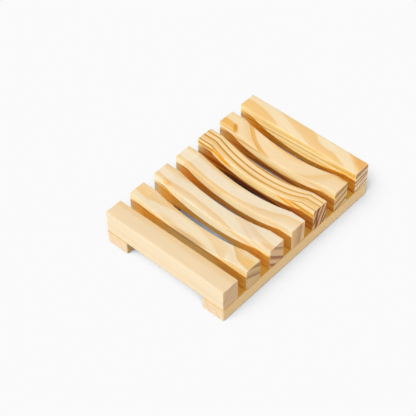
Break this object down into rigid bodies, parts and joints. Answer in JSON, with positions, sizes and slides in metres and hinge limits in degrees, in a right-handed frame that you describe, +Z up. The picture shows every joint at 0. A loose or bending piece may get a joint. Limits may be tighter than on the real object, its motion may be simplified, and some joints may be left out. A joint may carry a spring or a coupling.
{
  "type": "soap dish",
  "caption": "Open slatted wooden soap dish: square slats nailed across side rails, with the tops of the inner slats cut to one shallow curve that holds a bar of soap.",
  "frame": {"origin": "on the surface that the dish stands on, under the middle of the dish", "axes": "+X along the slats, +Y from the front slat to the back slat, +Z up"},
  "size_m": [0.08, 0.1156, 0.0228],
  "materials": {
    "slat_wood": "bare sanded pine",
    "rail_wood": "bare sanded pine, sapwood with fine straight grain",
    "nail_steel": "bright steel wire"
  },
  "bodies": {
    "root": {"slat_1": "slat_wood", "slat_2": "slat_wood", "slat_3": "slat_wood", "slat_4": "slat_wood", "slat_5": "slat_wood", "slat_6": "slat_wood", "slat_7": "slat_wood", "left_rail": "rail_wood", "right_rail": "rail_wood", "left_nails": "nail_steel", "right_nails": "nail_steel"}
  },
  "joints": []
}
